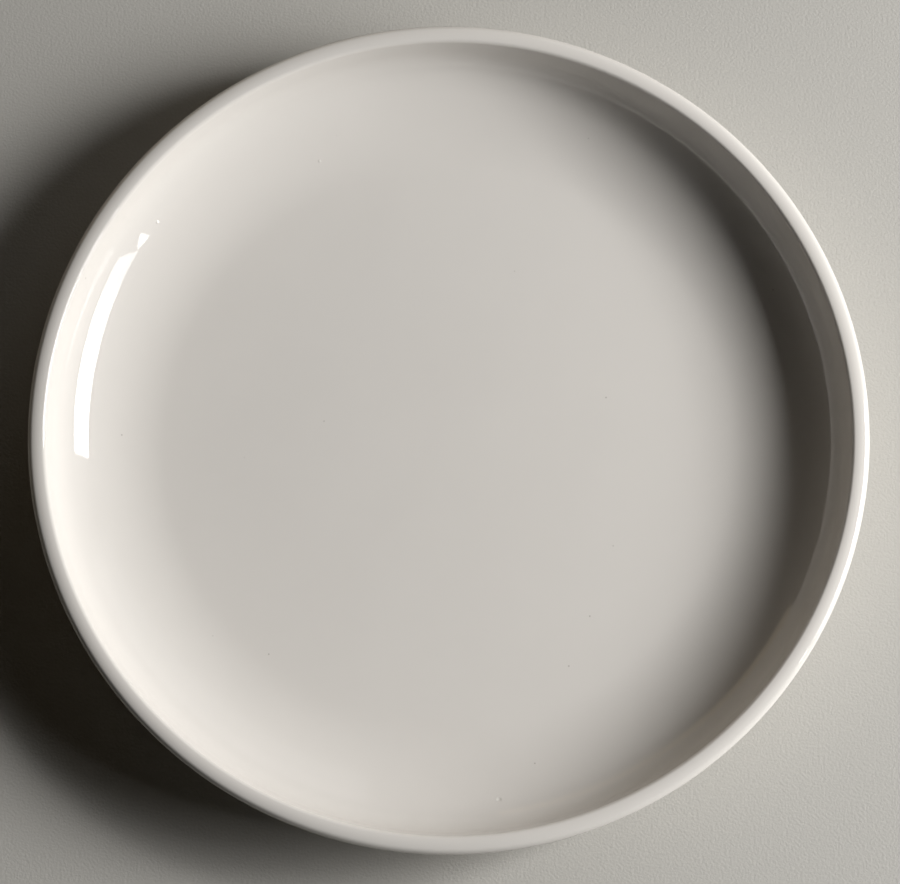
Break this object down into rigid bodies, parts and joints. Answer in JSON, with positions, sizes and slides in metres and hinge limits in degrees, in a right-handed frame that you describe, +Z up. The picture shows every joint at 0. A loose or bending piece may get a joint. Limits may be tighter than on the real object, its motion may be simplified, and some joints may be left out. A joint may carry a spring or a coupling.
{
  "type": "salad plate",
  "caption": "Round glazed ceramic salad plate with a flat well, a coved upright wall, a rounded lip and a dry foot ring.",
  "frame": {"origin": "centre of the plate on the plane of the table that the foot ring stands on", "axes": "+Z up along the plate's axis; X and Y lie in the table, and the plate is round so neither is special"},
  "size_m": [0.216, 0.216, 0.0275],
  "materials": {
    "fired_clay": "dry fired clay, bare on the foot ring only",
    "glaze": "clear gloss over warm off-white",
    "underside_glaze": "clear gloss over warm off-white, wiped at the foot"
  },
  "bodies": {
    "root": {"clay_body": "fired_clay", "glaze_coat": "glaze", "underside_glaze": "underside_glaze"}
  },
  "joints": []
}
